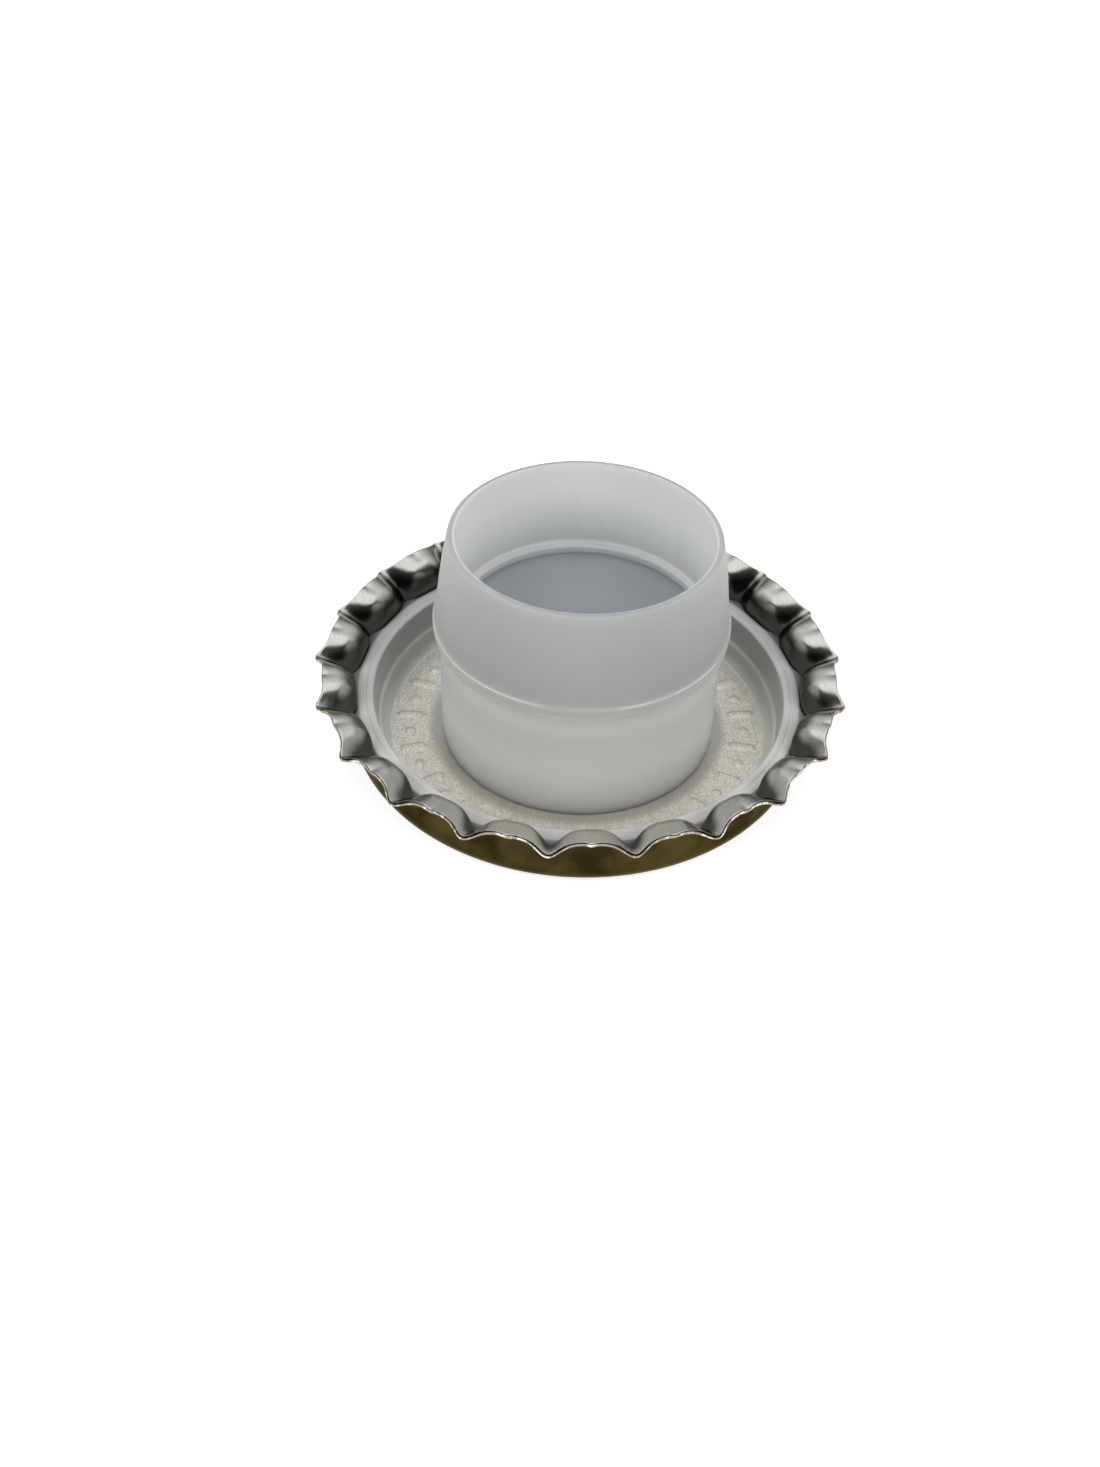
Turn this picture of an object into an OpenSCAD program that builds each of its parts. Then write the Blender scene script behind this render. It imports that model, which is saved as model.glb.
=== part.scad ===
// Crown-and-cup bottle stopper, standing upside down on its panel: a fluted tinplate crown shell,
// the moulded sealing liner inside it, and the hollow plastic stopper cup that stands on the liner.
// The origin is the middle of the crown panel's outer face, +Z runs up the cup, in millimetres.

/* [Crown shell] */
// Number of flutes pressed into the skirt
flute_count = 21; // [12:1:30]
// Outside radius of the skirt where its rounded corner ends
skirt_radius = 13.9; // [10:0.05:20]
// Outside radius of the rounded panel corner
panel_corner_radius = 2.0; // [0.8:0.05:4]
// Tinplate thickness
plate_thickness = 0.25; // [0.15:0.01:0.4]
// Outward lean of the wall under a ridge
ridge_lean = 5; // [0:0.5:20]
// Height of that wall from the corner to its roll
ridge_wall_height = 1.04; // [0.2:0.02:4]
// Outside radius of the roll at the top of that wall
ridge_roll_radius = 1.6; // [0.5:0.05:3]
// Slope of a ridge's tip above level
ridge_lip_slope = 25; // [0:1:50]
// How far the ridge tips reach out beyond their roll
ridge_lip_width = 1.15; // [0.2:0.05:3]
// Inward lean of the wall in the middle of a flute
flute_lean = 8.5; // [0:0.5:15]
// Height of that wall from the corner to its roll
flute_wall_height = 1.42; // [0.2:0.02:4]
// Outside radius of the roll at the top of that wall
flute_roll_radius = 1.02; // [0.5:0.02:2]
// Slope of the lip above level in the middle of a flute
flute_lip_slope = 3; // [0:1:40]
// How far that lip reaches out beyond its roll
flute_lip_width = 0.81; // [0.2:0.01:2]
// How far the lip's shoulders stand above a plain lip
lip_scallop = 0.28; // [0:0.01:0.6]
// Share of the scallop that the crease in the middle of each lip takes back
lip_crease = 1.1; // [0:0.05:1.5]
// Width of that crease from its middle, as a share of one flute
lip_crease_width = 0.07; // [0.03:0.01:0.2]
// Sharpness of the ridges at the corner
ridge_sharpness_low = 1.2; // [0.6:0.05:3]
// Sharpness of the ridges at the free edge
ridge_sharpness_high = 4.3; // [0.6:0.05:6]

/* [Sealing liner] */
// Thickness of the thin liner web on the panel
liner_web = 0.34; // [0.1:0.01:1]
// Clearance between the liner and the inside of the skirt
liner_clearance = 0.05; // [0.04:0.01:0.3]
// Height of the sealing lip's crest above the table
lip_crest_height = 3.5; // [2.4:0.05:6]
// Width of the sealing lip at its crest
lip_width = 0.95; // [0.5:0.05:2]
// Rounding of the crest's outer edge
lip_round = 0.3; // [0.1:0.01:0.45]
// How far the lip's inner wall comes in from its crest to the small step
lip_wall_run = 0.27; // [0.05:0.01:1]
// Width of that step
liner_step_width = 0.18; // [0.05:0.01:0.6]
// Height of that step above the web
liner_step_height = 1.26; // [0.4:0.02:1.6]
// Width of the fillet between the step and the web
liner_fillet_width = 0.45; // [0.1:0.05:1.5]

/* [Stopper cup] */
// Height of the cup from its foot to its rim
cup_height = 14.05; // [10:0.05:30]
// Outside radius at the fullest part of the lower skirt
cup_skirt_radius = 8.35; // [4:0.01:12]
// Height of the fullest part of the lower skirt above the foot
cup_skirt_height = 3.6; // [1:0.1:5]
// How much narrower the cup is at its foot
foot_taper = 0.07; // [0:0.01:0.4]
// How much narrower the cup is in the hollow under the bead
neck_depth = 0.08; // [0:0.01:0.4]
// Height of that hollow above the foot
cup_neck_height = 5.75; // [5.1:0.05:6.5]
// Radius of the bead that grips the bottle bore
bead_radius = 8.76; // [4.5:0.01:14]
// Height of the bead's upper edge above the foot
bead_height = 8.4; // [7.5:0.05:12]
// Length of the bead's land
bead_land = 0.3; // [0.1:0.05:0.8]
// Height of the bead's ramp under the land
bead_ramp_height = 0.48; // [0.1:0.02:0.6]
// Depth of the bead's ramp
bead_ramp_depth = 0.13; // [0.02:0.01:0.5]
// Depth of the step from the bead onto the upper wall
bead_step = 0.16; // [0.02:0.01:0.5]
// Outside radius of the rim
rim_radius = 7.84; // [4:0.01:13]
// Share of the upper wall's taper that is kept for the rim end
upper_wall_bow = 0.45; // [0:0.05:1]
// Rounding of the rim's outer edge
rim_round = 0.2; // [0.05:0.01:0.3]
// Thickness of the wall at the rim
rim_wall = 0.44; // [0.35:0.01:1.2]
// Height of the cup's floor above the foot
cup_floor_height = 7.7; // [4:0.05:11]
// Width of the small ledge around the floor
floor_ledge_width = 0.14; // [0.02:0.01:1]
// Height of that ledge above the floor
floor_ledge_height = 0.3; // [0.05:0.01:1]
// Thickness of the cross wall under the floor
cross_wall = 1.0; // [0.4:0.05:2]
// Thickness of the lower skirt's wall
skirt_wall = 1.05; // [0.6:0.01:2]
// Thickness of the wall at the foot
foot_wall = 0.53; // [0.3:0.01:2]
// Height of the flared mouth of the hollow under the cross wall
foot_flare_height = 1.7; // [0.3:0.05:2.5]

/* [Hidden] */
$fn = 96;

corner_centre = skirt_radius - panel_corner_radius;
disc_radius = corner_centre - 0.7;
ring_inside_radius = corner_centre - 1.3;
cup_base = plate_thickness + liner_web;
// The angle around the corner, below level, at which ridges and flutes part
parting_angle = -24;
// How far up the skirt the corner, the wall and the roll end
corner_end = 0.13;
wall_end = 0.45;
roll_end = 0.8;
// Where the columns of the skirt mesh stand in one flute, from a ridge to the next ridge
column_phase = [0, 0.07, 0.16, 0.28, 0.43, 0.5, 0.57, 0.72, 0.84, 0.93];
columns = flute_count * len(column_phase);
// Rows of the skirt mesh: below 0 runs around the panel corner, 0 to 1 runs up the skirt
row_place = [-1, -0.66, -0.33, 0, corner_end / 2, corner_end, wall_end, 0.56, 0.68, roll_end, 1];
rows = len(row_place);

function blend(a, b, t) = a + (b - a) * t;
function part_of(t, a, b) = (t - a) / (b - a);
function unit(v) = v / norm(v);
function polar(a, r) = [r * cos(a), r * sin(a)];
// [radius, height] around the panel corner, at an angle from level
function corner_point(a) = [corner_centre, panel_corner_radius] + polar(a, panel_corner_radius);
// One line up the skirt: around the corner, up a leaning wall, over a roll and out along a lip
function meridian(t, lean, wall_height, roll_radius, slope, lip_width) =
    let(foot = corner_point(-lean),
        knee = foot + wall_height * [tan(lean), 1],
        hub = knee + polar(-lean, roll_radius),
        brow = hub + polar(90 + slope, roll_radius))
    t < corner_end ? corner_point(blend(parting_angle, -lean, t / corner_end))
    : t < wall_end ? blend(foot, knee, part_of(t, corner_end, wall_end))
    : t < roll_end ? hub + polar(blend(180 - lean, 90 + slope, part_of(t, wall_end, roll_end)),
        roll_radius)
    : brow + part_of(t, roll_end, 1) * lip_width * [1, tan(slope)];
function ridge_line(t) =
    meridian(t, ridge_lean, ridge_wall_height, ridge_roll_radius, ridge_lip_slope, ridge_lip_width);
function flute_line(t) =
    meridian(t, -flute_lean, flute_wall_height, flute_roll_radius, flute_lip_slope,
        flute_lip_width);
// 1 on a ridge and 0 in the middle of a flute
function ridge_wave(phase) = (1 + cos(360 * phase)) / 2;
function scallop(phase) = let(d = (0.5 - abs(phase - round(phase))) / lip_crease_width)
    lip_scallop * (1 - ridge_wave(phase)) * (1 - lip_crease * exp(-d * d));
function skirt_point(t, phase) =
    let(w = pow(ridge_wave(phase), blend(ridge_sharpness_low, ridge_sharpness_high, t * t)))
    blend(flute_line(t), ridge_line(t), w) + [0, scallop(phase) * pow(t, 3)];
// The outside of the plate as a point in space, phase counting flutes around the skirt
function outside(t, phase) =
    let(p = t < 0 ? corner_point(blend(-90, parting_angle, t + 1)) : skirt_point(t, phase),
        a = 360 * phase / flute_count)
    [p[0] * cos(a), p[0] * sin(a), p[1]];
// The inside lies one plate thickness along the surface normal
function normal(t, phase) =
    let(step = 0.004, side = 0.03, up = t > 0.99 ? -step : step,
        along = (outside(t + up, phase) - outside(t, phase)) / up,
        around = (outside(t, phase + side) - outside(t, phase - side)) / (2 * side))
    unit(cross(along, around));
function inside(t, phase) = t <= -1
    ? let(a = 360 * phase / flute_count)
        [corner_centre * cos(a), corner_centre * sin(a), plate_thickness]
    : outside(t, phase) + plate_thickness * normal(t, phase);
function ring_point(z, phase) = let(a = 360 * phase / flute_count)
    [ring_inside_radius * cos(a), ring_inside_radius * sin(a), z];
// One column of the mesh, around the section: bottom ring, outside up, inside down, top ring
function column(phase) = concat([ring_point(0, phase)],
    [for (t = row_place) outside(t, phase)],
    [for (i = [rows - 1:-1:0]) inside(row_place[i], phase)],
    [ring_point(plate_thickness, phase)]);

module crown_shell() {
    section = 2 * rows + 2;
    points = [for (f = [0:flute_count - 1], p = column_phase) each column(f + p)];
    faces = [for (c = [0:columns - 1], s = [0:section - 1])
        let(d = (c + 1) % columns, n = (s + 1) % section,
            a = c * section + s, b = c * section + n, e = d * section + n, g = d * section + s)
        each [[a, b, e], [a, e, g]]];
    color([0.74, 0.75, 0.74])
    union() {
        cylinder(r = disc_radius, h = plate_thickness);
        polyhedron(points = points, faces = faces);
    }
}

module sealing_liner() {
    // The outside follows the inside of the panel corner, then the leaning flute walls
    reach = panel_corner_radius - plate_thickness - liner_clearance;
    hip = [corner_centre, panel_corner_radius] + polar(flute_lean, reach);
    function wall_radius(z) = hip[0] - (z - hip[1]) * tan(flute_lean);
    crest = lip_crest_height;
    outside_radius = wall_radius(crest - lip_round);
    crest_inside_radius = wall_radius(crest) - lip_width;
    step_radius = crest_inside_radius - lip_wall_run;
    step_top = cup_base + liner_step_height;
    flat_radius = step_radius - liner_step_width - liner_fillet_width;
    color([0.83, 0.84, 0.85])
    rotate_extrude()
    polygon(concat(
        [[0, plate_thickness], [corner_centre - 0.25, plate_thickness]],
        [for (i = [1:8]) [corner_centre, panel_corner_radius]
            + polar(blend(-82, flute_lean, i / 8), reach)],
        [[outside_radius, crest - lip_round],
            [outside_radius - 0.3 * lip_round, crest - 0.3 * lip_round],
            [outside_radius - lip_round, crest],
            [crest_inside_radius + 0.2, crest],
            [crest_inside_radius + 0.04, crest - 0.08],
            [crest_inside_radius - 0.04, crest - 0.3],
            [step_radius, step_top + 0.06],
            [step_radius - 0.06, step_top],
            [step_radius - liner_step_width, step_top - 0.08],
            [step_radius - liner_step_width, blend(cup_base, step_top, 0.4)],
            [blend(flat_radius, step_radius - liner_step_width, 0.6), cup_base + 0.12],
            [flat_radius, cup_base], [0, cup_base]]));
}

module stopper_cup() {
    step_radius = bead_radius - bead_step;
    step_height = bead_height + 0.12;
    land_foot = bead_height - bead_land;
    ramp = [bead_radius - bead_ramp_depth, land_foot - bead_ramp_height];
    neck = [cup_skirt_radius - neck_depth, cup_neck_height];
    foot_radius = cup_skirt_radius - foot_taper;
    foot_bore_radius = foot_radius - foot_wall;
    skirt_bore_radius = cup_skirt_radius - skirt_wall;
    ceiling = cup_floor_height - cross_wall;
    shoulder = cup_height - rim_round;
    bore_radius = rim_radius - rim_wall;
    ledge_radius = bore_radius - floor_ledge_width;
    ledge_height = cup_floor_height + floor_ledge_height;
    color([0.86, 0.88, 0.88])
    translate([0, 0, cup_base])
    rotate_extrude()
    polygon(concat(
        [[0, ceiling], [skirt_bore_radius - 0.4, ceiling], [skirt_bore_radius, ceiling - 0.4],
            [skirt_bore_radius, foot_flare_height], [foot_bore_radius, 0.12],
            [foot_bore_radius, 0], [foot_radius - 0.1, 0], [foot_radius, 0.12],
            [cup_skirt_radius, cup_skirt_height], neck,
            [blend(neck[0], ramp[0], 0.3), blend(neck[1], ramp[1], 0.5)], ramp,
            [bead_radius, land_foot], [bead_radius, bead_height]],
        // The barrelled upper wall, from the step above the bead to the rounded rim
        [for (i = [0:5]) let(h = i / 5, share = blend(h, pow(h, 3), upper_wall_bow))
            [blend(step_radius, rim_radius, share), blend(step_height, shoulder, h)]],
        [for (a = [30:30:90])
            [rim_radius - rim_round, shoulder] + polar(a, rim_round)],
        [[bore_radius + 0.06, cup_height], [bore_radius, cup_height - 0.06],
            [bore_radius, ledge_height], [ledge_radius, ledge_height],
            [ledge_radius, cup_floor_height], [0, cup_floor_height]]));
}

crown_shell();
sealing_liner();
stopper_cup();
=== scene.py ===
"""Crown-and-cup bottle stopper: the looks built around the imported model, in metres."""

import math

import bpy
import numpy as np
from mathutils import Matrix, Vector


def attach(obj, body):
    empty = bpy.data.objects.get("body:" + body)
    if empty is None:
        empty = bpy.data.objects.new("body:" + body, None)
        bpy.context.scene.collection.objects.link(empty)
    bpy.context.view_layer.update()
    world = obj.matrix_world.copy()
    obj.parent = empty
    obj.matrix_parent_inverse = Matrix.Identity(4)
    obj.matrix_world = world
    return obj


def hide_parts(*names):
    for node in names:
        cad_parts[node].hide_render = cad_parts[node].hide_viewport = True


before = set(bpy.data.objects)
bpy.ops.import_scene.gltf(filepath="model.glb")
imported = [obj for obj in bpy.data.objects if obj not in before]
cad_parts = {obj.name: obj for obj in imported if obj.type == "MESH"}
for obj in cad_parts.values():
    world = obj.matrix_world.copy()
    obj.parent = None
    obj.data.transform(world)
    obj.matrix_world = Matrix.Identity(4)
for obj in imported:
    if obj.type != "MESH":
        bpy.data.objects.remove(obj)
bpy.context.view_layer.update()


# ---------------------------------------------------------------- camera
# A close view from above the table, near enough for strong perspective. The camera leans a
# little to its left and stands a little to one side of the stopper's axis.

MM = 0.001

camera_distance = 103.44 * MM
camera_elevation = math.radians(41.12)
camera_azimuth = math.radians(-7.227)
camera_roll = math.radians(1.938)
camera_aside = Vector((-1.642, -0.298)) * MM


def placed(name, data):
    """A new object in the scene."""
    added = bpy.data.objects.new(name, data)
    bpy.context.scene.collection.objects.link(added)
    return added


camera_data = bpy.data.cameras.new("camera")
camera_data.lens = 40.75
camera_data.clip_start = 1 * MM
camera_data.clip_end = 5.0
camera = placed("camera", camera_data)
tilt = Matrix.Rotation(math.pi / 2 - camera_elevation, 4, "X")
orbit = Matrix.Rotation(camera_azimuth, 4, "Z") @ tilt
offset = Matrix.Translation((camera_aside.x, camera_aside.y, camera_distance))
camera.matrix_world = orbit @ offset @ Matrix.Rotation(camera_roll, 4, "Z")
bpy.context.scene.camera = camera


# ---------------------------------------------------------------- crown shell
# One pressing of thin tinplate: a flat panel, a rounded corner and a skirt with outward ridges
# between hollow flutes. The inside is bare satin tin, the outside has a dark gold lacquer, and
# the free edge is sheared steel with flecks of lacquer on it.

flute_count = 21
plate = 0.25 * MM
corner_radius = 2.0 * MM
skirt_radius = 13.9 * MM
corner_centre = skirt_radius - corner_radius
# The corner is a plain round up to this angle, where the ridges and the flutes part
parting_angle = math.radians(-24)
# Shares of the way up the skirt at which the corner, the wall and the roll end
corner_end, wall_end, roll_end = 0.13, 0.45, 0.8
# Each line up the skirt: lean of the wall outward, height of the wall, radius of its roll,
# slope of its lip and width of its lip
ridge_shape = (math.radians(5), 1.04 * MM, 1.6 * MM, math.radians(25), 1.15 * MM)
flute_shape = (math.radians(-8.5), 1.42 * MM, 1.02 * MM, math.radians(3), 0.81 * MM)
# How much sharper than a plain wave the ridges are, at the corner and at the free edge
ridge_sharpness = (1.2, 3.6)
# The lip dips at the ridges by the scallop, and it is creased in the middle of each flute. The
# crease is a share of the scallop and its width a share of a flute. The powers hold both back
# until near the free edge
lip_scallop = 0.28 * MM
lip_crease = 0.45
lip_crease_width = 0.07
scallop_power, crease_power = 3, 9
# The shear leaves the cut edge a little full, which makes up the last of the lip
lip_cut = 0.992
edge_bulge = 0.05 * MM


def polar(angle, radius):
    return np.array([np.cos(angle), np.sin(angle)]) * radius


def meridian(shape, t):
    """[radius, height] along one line up the skirt, t running from the corner to the edge."""
    lean, wall_height, roll_radius, slope, lip_width = shape
    centre = np.array([corner_centre, corner_radius])
    foot = centre + polar(-lean, corner_radius)
    knee = foot + wall_height * np.array([math.tan(lean), 1])
    hub = knee + polar(-lean, roll_radius)
    brow = hub + polar(math.pi / 2 + slope, roll_radius)
    if t < corner_end:
        turn = parting_angle + (-lean - parting_angle) * t / corner_end
        return centre + polar(turn, corner_radius)
    if t < wall_end:
        return foot + (knee - foot) * (t - corner_end) / (wall_end - corner_end)
    if t < roll_end:
        begin, end = math.pi - lean, math.pi / 2 + slope
        return hub + polar(begin + (end - begin) * (t - wall_end) / (roll_end - wall_end), roll_radius)
    return brow + (t - roll_end) / (1 - roll_end) * lip_width * np.array([1, math.tan(slope)])


def ring_row(radius, height, phase):
    """A row of one flute's width at a radius and a height, which may vary along it."""
    angle = 2 * math.pi * phase / flute_count
    level = height + 0 * phase
    return np.stack([radius * np.cos(angle), radius * np.sin(angle), level], axis=-1)


def plate_outside(t, phase):
    """A row of outside points: t below 0 runs round the panel corner, 0 to 1 up the skirt."""
    if t < 0:
        turn = parting_angle * (1 + t) - math.pi / 2 * -t
        radius, height = np.array([corner_centre, corner_radius]) + polar(turn, corner_radius)
    else:
        ridge = meridian(ridge_shape, t)[:, None]
        flute = meridian(flute_shape, t)[:, None]
        wave = (1 + np.cos(2 * math.pi * phase)) / 2
        sharpness = ridge_sharpness[0] + (ridge_sharpness[1] - ridge_sharpness[0]) * t**2
        radius, height = flute + (ridge - flute) * wave**sharpness
        away = (0.5 - np.abs(phase - np.round(phase))) / lip_crease_width
        crease = lip_crease * np.exp(-(away**2)) * t**crease_power
        height = height + lip_scallop * (1 - wave) * (t**scallop_power - crease)
    return ring_row(radius, height, phase)


def plate_inside(t, phase, step_up=0.004, step_round=0.02):
    """The same row on the inside, one plate thickness along the smoothed surface normal."""
    along = plate_outside(t + step_up, phase) - plate_outside(t - step_up, phase)
    around = plate_outside(t, phase + step_round) - plate_outside(t, phase - step_round)
    normal = np.cross(along, around)
    normal /= np.linalg.norm(normal, axis=-1, keepdims=True)
    return plate_outside(t, phase) + plate * normal


def grid_mesh(name, grid, side):
    """Quads over a grid of points, with each row's side kept as the attribute "side"."""
    height, width = grid.shape[:2]
    index = np.arange(height * width).reshape(height, width)
    quads = np.stack([index[:-1, :-1], index[:-1, 1:], index[1:, 1:], index[1:, :-1]], axis=-1)
    mesh = bpy.data.meshes.new(name)
    mesh.from_pydata(grid.reshape(-1, 3).tolist(), [], quads.reshape(-1, 4).tolist())
    mesh.attributes.new("side", "FLOAT", "POINT").data.foreach_set("value", np.repeat(side, width))
    return mesh


# Columns stand closer on the ridge and at the crease
plate_columns = 29
column_crowding = 0.4
even = np.linspace(-0.5, 0.5, plate_columns)
phase = even - column_crowding * np.sin(4 * math.pi * even) / (4 * math.pi)
corner_rows, skirt_rows = 8, 46
corner_places = np.linspace(-1, 0, corner_rows + 1)[:-1]
places = np.concatenate([corner_places, np.linspace(0, lip_cut, skirt_rows)])
panel_radii = np.array([0, 4, 8, 10.6]) * MM
outside = [ring_row(r, 0, phase) for r in panel_radii] + [plate_outside(t, phase) for t in places]
inside = [plate_inside(t, phase) for t in places[::-1]]
inside += [ring_row(r, plate, phase) for r in panel_radii[::-1]]
# The cut edge is a shallow arch from the outside over to the inside
middle = (outside[-1] + inside[0]) / 2
half = (outside[-1] - inside[0]) / 2
outward = outside[-1] - outside[-2]
outward *= edge_bulge / np.linalg.norm(outward, axis=-1, keepdims=True)
arch = np.radians([25, 55, 90, 125, 155])
cut_edge = [middle + half * math.cos(a) + outward * math.sin(a) for a in arch]
rows = np.array(outside + cut_edge + inside)
side = np.repeat([0.0, 0.25, 0.4, 0.5, 0.6, 0.75, 1.0], [len(outside), 1, 1, 1, 1, 1, len(inside)])
one_flute = placed("one_flute", grid_mesh("one_flute", rows, side))


class Value:
    """One output of a node, with Python's operators standing for Math nodes."""

    def __init__(self, graph, socket):
        self.graph = graph
        self.socket = socket

    def __add__(self, other):
        return self.graph.math("ADD", self, other)

    def __sub__(self, other):
        return self.graph.math("SUBTRACT", self, other)

    def __rsub__(self, other):
        return self.graph.math("SUBTRACT", other, self)

    def __mul__(self, other):
        return self.graph.math("MULTIPLY", self, other)

    def __truediv__(self, other):
        return self.graph.math("DIVIDE", self, other)

    __radd__ = __add__
    __rmul__ = __mul__


class Graph:
    """Builds one node tree, every node through one method."""

    def __init__(self, tree):
        self.tree = tree

    def add(self, kind, settings=None, outputs=(0,), **sockets):
        """A node: its settings first, then values for its sockets or links into them."""
        node = self.tree.nodes.new(kind)
        for key, value in (settings or {}).items():
            setattr(node, key, value)
        for key, value in sockets.items():
            if key.startswith("n_"):
                socket = node.inputs[int(key[2:])]
            else:
                wanted = key.replace("_", " ").lower()
                named = [s for s in node.inputs if s.name.lower() == wanted]
                socket = next(s for s in named if s.enabled)
            if isinstance(value, Value):
                self.tree.links.new(value.socket, socket)
            else:
                socket.default_value = value
        found = [Value(self, node.outputs[key]) for key in outputs]
        return found[0] if len(found) == 1 else found

    def math(self, operation, first, second=0.0):
        return self.add("ShaderNodeMath", {"operation": operation}, n_0=first, n_1=second)

    def ramp(self, value, low, high):
        """0 below low, 1 above high and smooth between; high may be the lower one."""
        settings = {"interpolation_type": "SMOOTHSTEP"}
        return self.add("ShaderNodeMapRange", settings, Value=value, From_Min=low, From_Max=high)

    def mix(self, first, second, share):
        settings = {"data_type": "RGBA"}
        return self.add("ShaderNodeMix", settings, (2,), n_0=share, n_6=first, n_7=second)

    def noise(self, vector, scale, detail=2.0, roughness=0.5):
        return self.add("ShaderNodeTexNoise", None, (0,), Vector=vector, Scale=scale, Detail=detail,
                        Roughness=roughness)

    def stretched(self, vector, scale, turn=0.0):
        """The vector turned about Z, then scaled along each axis."""
        settings = {"vector_type": "POINT"}
        return self.add("ShaderNodeMapping", settings, Vector=vector, Scale=scale,
                        Rotation=(0, 0, turn))

    def bump(self, height, distance, normal=None):
        given = {} if normal is None else {"Normal": normal}
        return self.add("ShaderNodeBump", None, (0,), Height=height, Distance=distance, **given)


def new_material(name):
    """A material with its graph and its object coordinates."""
    material = bpy.data.materials.new(name)
    material.use_nodes = True
    material.node_tree.nodes.clear()
    graph = Graph(material.node_tree)
    point = graph.add("ShaderNodeTexCoord", None, ("Object",))
    return material, graph, point


def principled(graph, **sockets):
    shader = graph.add("ShaderNodeBsdfPrincipled", None, ("BSDF",), **sockets)
    graph.add("ShaderNodeOutputMaterial", None, (), Surface=shader)


def from_axis(graph, point):
    """A point's distance from the stopper's axis, and its height."""
    x, y, z = graph.add("ShaderNodeSeparateXYZ", None, (0, 1, 2), Vector=point)
    return graph.math("SQRT", x * x + y * y), z


def repeated_round(name, seed_object, count, weld, material):
    """The object repeated round +Z by Geometry Nodes and welded into one mesh."""
    tree = bpy.data.node_groups.new(name, "GeometryNodeTree")
    face = tree.interface
    face.new_socket("Geometry", in_out="INPUT", socket_type="NodeSocketGeometry")
    face.new_socket("Geometry", in_out="OUTPUT", socket_type="NodeSocketGeometry")
    copies = face.new_socket("Copies", in_out="INPUT", socket_type="NodeSocketInt")
    gap = face.new_socket("Weld distance", in_out="INPUT", socket_type="NodeSocketFloat")
    graph = Graph(tree)
    seed, number, distance = graph.add("NodeGroupInput", None, (0, 1, 2))
    points = graph.add("GeometryNodePoints", Count=number)
    turn = graph.add("GeometryNodeInputIndex") * (2 * math.pi) / number
    rotation = graph.add("ShaderNodeCombineXYZ", Z=turn)
    copied = graph.add("GeometryNodeInstanceOnPoints", Points=points, Instance=seed, Rotation=rotation)
    real = graph.add("GeometryNodeRealizeInstances", Geometry=copied)
    welded = graph.add("GeometryNodeMergeByDistance", Geometry=real, Distance=distance)
    smooth = graph.add("GeometryNodeSetShadeSmooth", Geometry=welded)
    painted = graph.add("GeometryNodeSetMaterial", Geometry=smooth, Material=material)
    graph.add("NodeGroupOutput", None, (), Geometry=painted)
    modifier = seed_object.modifiers.new(name, "NODES")
    modifier.node_group = tree
    modifier[copies.identifier] = count
    modifier[gap.identifier] = weld
    bpy.context.view_layer.update()
    whole = seed_object.evaluated_get(bpy.context.evaluated_depsgraph_get())
    mesh = bpy.data.meshes.new_from_object(whole)
    bpy.data.objects.remove(seed_object)
    return placed(name, mesh)


bare_tin = ((0.60, 0.595, 0.55, 1), (0.82, 0.815, 0.77, 1))
# Colour of the painted shade on the tin just above the liner
tin_painted_shade = (0.11, 0.115, 0.105, 1)
dark_lacquer = ((0.022, 0.017, 0.005, 1), (0.064, 0.050, 0.017, 1))
sheared_steel = ((0.30, 0.25, 0.18, 1), (0.72, 0.70, 0.66, 1))
# The painted shade inside the skirt, between the liner and the roll, fades over these two
# heights and two radii
shade_top, shade_full = 5.2 * MM, 4.7 * MM
shade_out, shade_in = 15.9 * MM, 15.1 * MM

tinplate, graph, point = new_material("tinplate")
across = graph.add("ShaderNodeAttribute", {"attribute_name": "side"}, ("Fac",))
inner = graph.ramp(across, 0.7, 0.95)
outer = graph.ramp(across, 0.3, 0.05)
fleck = graph.ramp(graph.noise(point, 2600, 3), 0.5, 0.62)
mottle = graph.noise(point, 420, 4)
grain = graph.noise(graph.stretched(point, (9000, 1500, 1500), 0.6), 1.0, 3)
lacquer = graph.mix(*dark_lacquer, graph.ramp(mottle, 0.35, 0.7))
bright_cut = graph.mix(*sheared_steel, fleck)
tin = graph.mix(*bare_tin, grain)
# Painted shade darkens the wall just above the liner
radius, z = from_axis(graph, point)
below_roll = graph.ramp(z + 0.3 * MM * mottle, shade_top, shade_full)
shaded_low = below_roll * graph.ramp(radius, shade_out, shade_in)
tin = graph.mix(tin, tin_painted_shade, shaded_low)
colour = graph.mix(bright_cut, tin, inner)
colour = graph.mix(colour, lacquer, outer)
rough = 0.19 + 0.08 * mottle + outer * 0.12
dents = graph.bump(graph.noise(point, 900, 2), 0.02 * MM)
fine = graph.bump(grain, 0.004 * MM, dents)
principled(graph, Base_Color=colour, Metallic=1.0, Roughness=rough, Normal=fine,
           Specular_Tint=(0.60, 0.56, 0.48, 1))

plate_weld = 0.002 * MM
crown = repeated_round("crown_plate", one_flute, flute_count, plate_weld, tinplate)
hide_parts("crown_shell")
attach(crown, "root")


# ---------------------------------------------------------------- sealing liner
# One moulding of clear soft plastic: a thin web over the panel, through which the rolled metal
# shows, and a thick milky sealing lip that stands up inside the skirt. Plain moulded marks stand
# on the web.

# Heights of the liner, in millimetres as its outline is: the web's top, the crest of the lip
# and the line where the lip thins out against the skirt
liner_top = 0.59
lip_crest = 3.5
lip_film = 3.44
# The marks, in millimetres: the ring they stand on, how far a bar reaches along its radius
# either way, half the width at their foot, the breadth of their slopes and their height
mark_ring = 10.3
bar_reach = 0.5
mark_half_width = 0.34
mark_slope = 0.16
mark_height = 0.08


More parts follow.
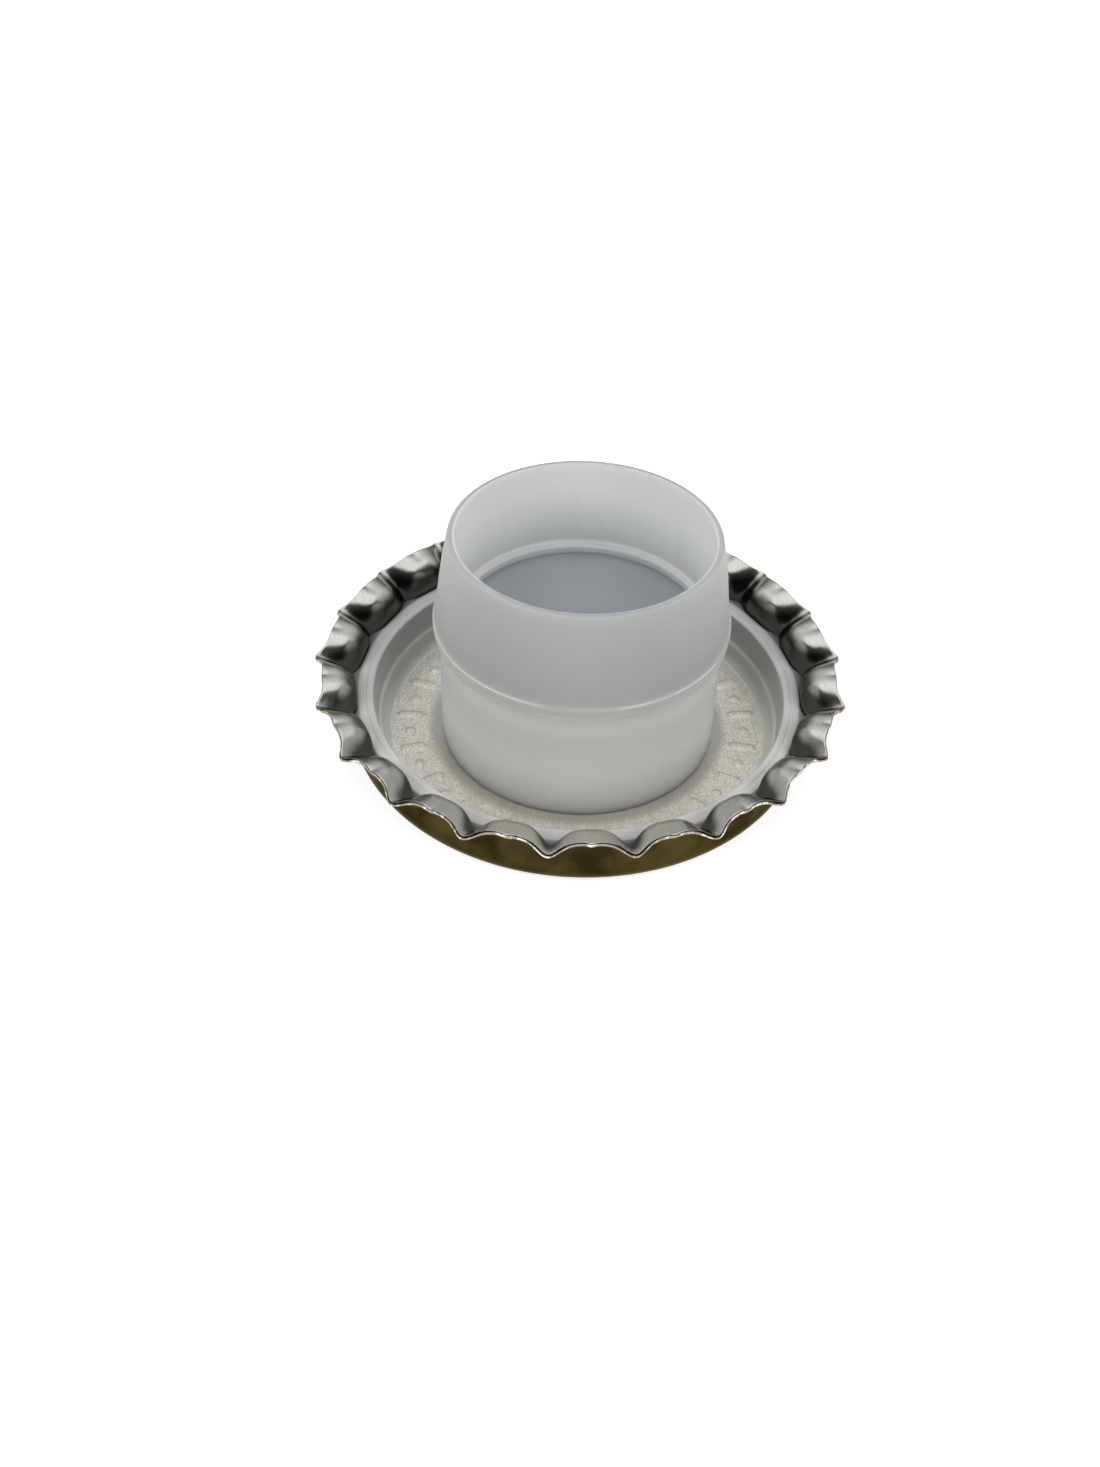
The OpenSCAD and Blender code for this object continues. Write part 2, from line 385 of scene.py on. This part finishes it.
def rounded_line(corners, arc_step=math.radians(12)):
    """A line through [radius, height, rounding] corners in millimetres, with round corners."""
    points = np.array([corner[:2] for corner in corners]) * MM
    line = [points[0]]
    for before, at, after, corner in zip(points, points[1:], points[2:], corners[1:]):
        to_before = (before - at) / np.linalg.norm(before - at)
        to_after = (after - at) / np.linalg.norm(after - at)
        half_angle = math.acos(np.clip(to_before @ to_after, -1, 1)) / 2
        rounding = corner[2] * MM
        sweep = math.pi - 2 * half_angle
        if rounding == 0 or sweep < 0.01:
            line.append(at)
            continue
        bisector = (to_before + to_after) / np.linalg.norm(to_before + to_after)
        hub = at + bisector * rounding / math.sin(half_angle)
        start = at + to_before * rounding / math.tan(half_angle) - hub
        way = 1 if start[0] * -to_before[1] + start[1] * to_before[0] > 0 else -1
        for share in np.linspace(0, 1, max(3, int(sweep / arc_step) + 1)):
            turn = way * sweep * share
            spin = np.array([[math.cos(turn), -math.sin(turn)], [math.sin(turn), math.cos(turn)]])
            line.append(hub + spin @ start)
    line.append(points[-1])
    return np.array(line)


def sector_rows(line, sectors, columns):
    """One sector of a turned form: a row of points for each point of its line."""
    angle = np.linspace(-math.pi, math.pi, columns) / sectors
    radius, height = line[:, 0, None], line[:, 1, None]
    return np.stack([radius * np.cos(angle), radius * np.sin(angle), height + 0 * angle], axis=-1)


def marks(radius, arc, phase):
    """Height of the plain marks: a bar on every ridge's radius and a pip between them."""
    bar = np.hypot(np.maximum(np.abs(radius - mark_ring) - bar_reach, 0), arc)
    between = (0.5 - np.abs(phase)) * 2 * math.pi / flute_count * radius
    pip = np.hypot(radius - mark_ring, between)
    raised = np.clip((mark_half_width - np.minimum(bar, pip)) / mark_slope, 0, 1)
    return mark_height * raised**2 * (3 - 2 * raised)


# The outside of the lip is moulded against the skirt, so it fills the ridges behind it
liner_columns = 41
liner_clearance = 0.02 * MM
liner_phase = np.linspace(-0.5, 0.5, liner_columns)
wall_samples, wall_top = 120, 0.75
wall_places = np.linspace(-1, wall_top, wall_samples)
skirt_wall = np.array([plate_inside(t, liner_phase) for t in wall_places])
wall_radius = np.hypot(skirt_wall[..., 0], skirt_wall[..., 1])
lip_levels = [0.25, 0.27, 0.32, 0.42, 0.6, 0.85, 1.15, 1.5, 1.9, 2.3, 2.7, 3.05, lip_film]
under_radii = [0, 4, 8, 11.0, 11.6]
liner_inner = rounded_line([
    (13.36, 3.47, 0), (13.2, lip_crest, 0.12), (12.95, lip_crest, 0.05), (12.90, 3.47, 0.03),
    (12.85, lip_crest, 0.05), (12.45, lip_crest, 0.16), (12.19, 1.92, 0.25), (12.0, 1.78, 0.2),
    (11.96, 0.95, 0.35), (11.55, liner_top, 0.3), (11.2, liner_top, 0),
])
# Rows of the web stand close together where the marks are
marked_radii = np.arange(11.1, 9.45, -0.08)
plain_radii = [9.0, 8.4, 7.4, 5.0, 2.0, 0.0]
liner_angle = 2 * math.pi * liner_phase / flute_count
liner_rows = [ring_row(r * MM, plate, liner_phase) for r in under_radii]
for level in lip_levels:
    found = [np.interp(level * MM, skirt_wall[:, column, 2], wall_radius[:, column])
             for column in range(liner_columns)]
    liner_rows.append(ring_row(np.array(found) - liner_clearance, level * MM, liner_phase))
liner_rows += [ring_row(r, z, liner_phase) for r, z in liner_inner]
for r in [*marked_radii, *plain_radii]:
    raised = marks(r, r * liner_angle, liner_phase)
    liner_rows.append(ring_row(r * MM, (liner_top + raised) * MM, liner_phase))
liner_mesh = grid_mesh("liner_sector", np.array(liner_rows), np.zeros(len(liner_rows)))
liner_sector = placed("liner_sector", liner_mesh)

milky_lip = ((0.53, 0.53, 0.52, 1), (0.61, 0.61, 0.60, 1))
# Painted shade for the lip where it meets the skirt, and for its wall
lip_seam_shade = (0.27, 0.29, 0.30, 1)
shaded_wall = (0.39, 0.40, 0.40, 1)
rolled_metal = ((0.62, 0.61, 0.55, 1), (0.92, 0.90, 0.82, 1))
# Colour of the painted contact shadow on the web round the cup's foot
web_contact_shadow = (0.40, 0.39, 0.36, 1)

liner_plastic, graph, point = new_material("liner_plastic")
radius = from_axis(graph, point)[0]
# The metal shows through the web, and painted shade darkens the lip at its outer edge against the
# skirt and down its wall
web = graph.ramp(radius, 11.9 * MM, 11.3 * MM)
edge = graph.ramp(radius, 13.3 * MM, 13.46 * MM)
wall = graph.ramp(radius, 12.12 * MM, 12.24 * MM) * graph.ramp(radius, 12.52 * MM, 12.40 * MM)
rolled = graph.noise(graph.stretched(point, (5200, 700, 700), 0.62), 1.0, 4, 0.6)
speckle = graph.noise(point, 9000, 2, 0.6)
milky = graph.mix(*milky_lip, graph.noise(point, 350, 3))
milky = graph.mix(milky, lip_seam_shade, edge)
milky = graph.mix(milky, shaded_wall, wall)
grit = graph.ramp(rolled * 0.25 + speckle * 0.75, 0.38, 0.62)
metal = graph.mix(*rolled_metal, grit)
# Painted shadow: the web is painted darker close round the cup's foot, for the cup's contact shadow
metal = graph.mix(metal, web_contact_shadow, graph.ramp(radius, 9.4 * MM, 8.7 * MM) * 0.7)
surface = graph.bump(rolled * web, 0.01 * MM, graph.bump(speckle, 0.003 * MM))
principled(graph, Base_Color=graph.mix(milky, metal, web), Metallic=web * 0.5,
           Roughness=0.42 - web * 0.04, Normal=surface, Subsurface_Weight=0.25,
           Subsurface_Radius=(0.8, 0.8, 0.9), Subsurface_Scale=0.6 * MM)

plastic_weld = 0.001 * MM
liner = repeated_round("liner_moulding", liner_sector, flute_count, plastic_weld, liner_plastic)
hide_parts("sealing_liner")
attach(liner, "root")


# ---------------------------------------------------------------- stopper cup
# A hollow cup moulded in natural frosted polyethylene. A bead grips the bottle bore, with the
# parting line of the mould just under it, and the wall above it draws in to a thin rim.

cup_sectors = 24
cup_columns = 9
# From the middle of the cross wall's underside out, up the outside, over the rim, down the bore
# and back to the middle
cup_outline = [
    (0, 7.29, 0), (7.3, 7.29, 0.4), (7.3, 2.29, 0.5), (7.75, 0.70, 0.1), (7.77, 0.59, 0.03),
    (8.27, 0.59, 0.05), (8.28, 0.72, 0.1), (8.345, 2.4, 2), (8.36, 4.0, 8), (8.275, 5.95, 8),
    (8.45, 7.5, 8), (8.60, 8.17, 0.3), (8.63, 8.19, 0.02), (8.63, 8.24, 0.02),
    (8.755, 8.74, 0.08), (8.765, 8.98, 0.05), (8.61, 9.12, 0.08), (8.57, 10.0, 6),
    (8.42, 11.0, 6), (8.30, 12.0, 6), (8.16, 13.0, 6), (7.97, 14.0, 5), (7.84, 14.64, 0.16),
    (7.40, 14.64, 0.07), (7.42, 9.32, 0.25), (7.25, 8.84, 0.12), (7.24, 8.63, 0.02),
    (7.22, 8.60, 0.02), (7.21, 8.29, 0.06), (0, 8.29, 0),
]
cup_line = rounded_line(cup_outline)
cup_rows = sector_rows(cup_line, cup_sectors, cup_columns)
cup_mesh = grid_mesh("cup_sector", cup_rows, np.zeros(len(cup_line)))
cup_sector = placed("cup_sector", cup_mesh)

bead_crest = 8.97 * MM
parting_line = 8.21 * MM
drawn_wall = ((0.41, 0.42, 0.405, 1), (0.47, 0.48, 0.465, 1))
# Painted light: the whiter colour of the skirt below the bead
skirt_painted_light = (0.92, 0.92, 0.88, 1)
# Painted shade and light down the bore, and a painted highlight ring at its foot
bore_shade_to_light = ((0.64, 0.67, 0.68, 1), (0.84, 0.85, 0.83, 1))
bore_ring_highlight = (1.0, 0.99, 0.96, 1)
# Painted shade on the cup's floor, and painted light in a band round its foot
floor_painted_shade = ((0.41, 0.45, 0.49, 1), (0.47, 0.51, 0.54, 1))
foot_painted_light = (1.0, 0.99, 0.92, 1)
flash_trace = (0.84, 0.83, 0.78, 1)
# Painted highlight along the bead's crest and the parting line
painted_highlight_line = (0.86, 0.87, 0.85, 1)
fine_mottling = (0.4, 0.4, 0.4, 1)

frosted, graph, point = new_material("frosted_plastic")
cloud = graph.noise(point, 180, 3)
skin = graph.noise(point, 3800, 3, 0.6)
streaks = graph.noise(graph.stretched(point, (900, 900, 160)), 1.0, 3)
radius, z = from_axis(graph, point)
bore = graph.ramp(radius, 7.62 * MM, 7.5 * MM) * graph.ramp(z, 8.5 * MM, 8.62 * MM)
# Painted light: the skirt below the bead is painted whiter than the drawn-in wall above it, for the
# light the plastic carries down
skirt = graph.ramp(z, 9.9 * MM, 6.6 * MM)
colour = graph.mix(*drawn_wall, cloud)
colour = graph.mix(colour, skirt_painted_light, skirt)
# Painted light and shade: the bore is painted darker low down and paler towards the open rim, with a
# painted highlight ring where its foot rounds into the floor
bore_rim_light = graph.ramp(z + 2 * MM * streaks, 9.5 * MM, 14.5 * MM)
ring = graph.ramp(z, 8.68 * MM, 8.75 * MM) * graph.ramp(z, 9.3 * MM, 9.15 * MM)
colour = graph.mix(colour, graph.mix(graph.mix(*bore_shade_to_light, bore_rim_light), bore_ring_highlight, ring), bore)
# Painted shade: the cup's floor is painted a cool grey for the dark hollow under it. Painted
# light: a warm pale band is painted round the foot for the metal's light through the thinner wall
# there
floor = graph.ramp(z, 8.45 * MM, 8.35 * MM) * graph.ramp(radius, 7.35 * MM, 7.2 * MM)
colour = graph.mix(colour, graph.mix(*floor_painted_shade, cloud), floor)
band = graph.ramp(z + 0.25 * MM * cloud, 2.5 * MM, 2.3 * MM)
colour = graph.mix(colour, foot_painted_light, band)
# A ragged trace of flash runs round the foot
flash = graph.ramp(z + 0.5 * MM * graph.noise(point, 2600, 3), 1.08 * MM, 0.98 * MM)
colour = graph.mix(colour, flash_trace, flash * 0.5)
# Two fine painted highlights, broken up by noise, at the bead's crest and at the parting line under it
highlight_breaks = graph.ramp(graph.noise(point, 260, 2), 0.4, 0.55)
crest = graph.ramp(graph.math("ABSOLUTE", z - bead_crest), 0.07 * MM, 0.02 * MM) * highlight_breaks
parting = graph.ramp(graph.math("ABSOLUTE", z - parting_line), 0.06 * MM, 0.02 * MM) * (1.2 - highlight_breaks)
colour = graph.mix(colour, painted_highlight_line, graph.math("MAXIMUM", crest, parting))
colour = graph.mix(colour, fine_mottling, graph.noise(point, 9000, 2, 0.6) * 0.16)
principled(graph, Base_Color=colour, Roughness=0.5, Normal=graph.bump(skin, 0.006 * MM),
           Transmission_Weight=0.3, IOR=1.35,
           Subsurface_Weight=1.0, Subsurface_Radius=(1, 1, 1), Subsurface_Scale=3 * MM)

cup = repeated_round("cup_moulding", cup_sector, cup_sectors, plastic_weld, frosted)
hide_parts("stopper_cup")
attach(cup, "root")


# ---------------------------------------------------------------- studio
# A white table under a white sky, with a tent of cloth round it that is open above: near black
# on the camera's side and grey behind. The camera sees the table and the sky as plain white,
# with the stopper's soft shadow on the table.


def grey(value):
    return (value, value, value, 1)


def background_ray(graph):
    """1 for camera, glossy and transmission rays, and 0 for those that carry light."""
    kinds = ("Is Camera Ray", "Is Glossy Ray", "Is Transmission Ray")
    seen, glossy, through = graph.add("ShaderNodeLightPath", None, kinds)
    return graph.math("MINIMUM", seen + glossy + through, 1.0)


scene = bpy.context.scene
scene.view_settings.view_transform = "Standard"
sky_strength = 1.3
world = bpy.data.worlds.new("studio")
scene.world = world
world.use_nodes = True
world.node_tree.nodes.clear()
graph = Graph(world.node_tree)
plain = background_ray(graph)
sky = graph.add("ShaderNodeBackground", None, (0,), Color=grey(1.0),
                Strength=sky_strength + plain * (1.0 - sky_strength))
graph.add("ShaderNodeOutputWorld", None, (), Surface=sky)

# The table's own colour, and how far it is lifted towards white where only the background is
# seen: partly near the stopper, so that its shadow stays, and fully far out, in metres
table_colour = grey(0.8)
near_lift, far_lift = grey(0.6), grey(1.0)
lift_begins, lift_full = 0.38, 0.46
table_material, graph, point = new_material("white_table")
far = graph.ramp(from_axis(graph, point)[0], lift_begins, lift_full)
matt = graph.add("ShaderNodeBsdfDiffuse", None, (0,), Color=table_colour)
lift = graph.add("ShaderNodeEmission", None, (0,), Color=graph.mix(near_lift, far_lift, far),
                 Strength=background_ray(graph))
graph.add("ShaderNodeOutputMaterial", None, (), Surface=graph.add(
    "ShaderNodeAddShader", None, (0,), n_0=matt, n_1=lift))
half_table = 1.0
# Just below the crown's panel, so that the two don't lie in one plane
table_top = -0.02 * MM
corners = [(-half_table, -half_table, table_top), (half_table, -half_table, table_top),
           (half_table, half_table, table_top), (-half_table, half_table, table_top)]
table_mesh = bpy.data.meshes.new("table")
table_mesh.from_pydata(corners, [], [(0, 1, 2, 3)])
table_mesh.materials.append(table_material)
table = placed("table", table_mesh)

# Height of the tent's upper edge as an angle above the table, by the angle round either way
# from the camera's side
tent_radius = 0.5
tent_edge = {0: 76, 45: 74, 75: 70, 105: 63, 135: 54, 180: 50}
tent_rises = 12
tent_step = 5
camera_side = camera_azimuth - math.pi / 2
# The cloth turns from near black to grey over these distances behind the stopper, and the grey
# pales between these heights, in metres
black_cloth, low_grey, high_grey = grey(0.03), grey(0.16), grey(0.95)
grey_begins, grey_full = 0.02, 0.3
rise_begins, rise_full = 0.08, 0.38
tent_material, graph, point = new_material("tent_cloth")
x, y, z = graph.add("ShaderNodeSeparateXYZ", None, (0, 1, 2), Vector=point)
behind = (x * math.cos(camera_side) + y * math.sin(camera_side)) * -1.0
pale = graph.ramp(behind, grey_begins, grey_full)
rise = graph.ramp(z, rise_begins, rise_full)
cloth = graph.mix(black_cloth, graph.mix(low_grey, high_grey, rise), pale)
graph.add("ShaderNodeOutputMaterial", None, (), Surface=graph.add(
    "ShaderNodeBsdfDiffuse", None, (0,), Color=cloth))
round_angles = np.arange(-180, 181, tent_step)
edge_angles = np.interp(np.abs(round_angles), list(tent_edge), list(tent_edge.values()))
directions = np.radians(round_angles) + camera_side
tent_rows = []
for share in np.linspace(0, 1, tent_rises):
    lifted = np.radians(edge_angles) * share
    tent_rows.append(tent_radius * np.stack([
        np.cos(lifted) * np.cos(directions),
        np.cos(lifted) * np.sin(directions),
        np.sin(lifted)], axis=-1))
tent_mesh = grid_mesh("tent", np.array(tent_rows), np.zeros(tent_rises))
tent_mesh.materials.append(tent_material)
tent = placed("tent", tent_mesh)
# Only light and reflections meet the cloth, so every view has the plain white sky behind it
tent.visible_camera = False
tent.visible_transmission = False

# Two broad low lamps, one on either side of the camera; polished metal doesn't see them
lamp_size = 0.3
lamp_watts = 1.17
lamp_away, lamp_height = 0.32, 0.22
# Degrees round from the camera's side
lamp_sides = (-52, 52)
for aside in lamp_sides:
    lamp_data = bpy.data.lights.new("low_lamp", "AREA")
    lamp_data.size = lamp_size
    lamp_data.energy = lamp_watts
    lamp = placed("low_lamp", lamp_data)
    lamp_angle = camera_side + math.radians(aside)
    lamp.location = (lamp_away * math.cos(lamp_angle), lamp_away * math.sin(lamp_angle), lamp_height)
    lamp.rotation_euler = (-lamp.location).to_track_quat("-Z", "Y").to_euler()
    lamp.visible_glossy = False
    lamp.visible_transmission = False
    lamp.visible_camera = False
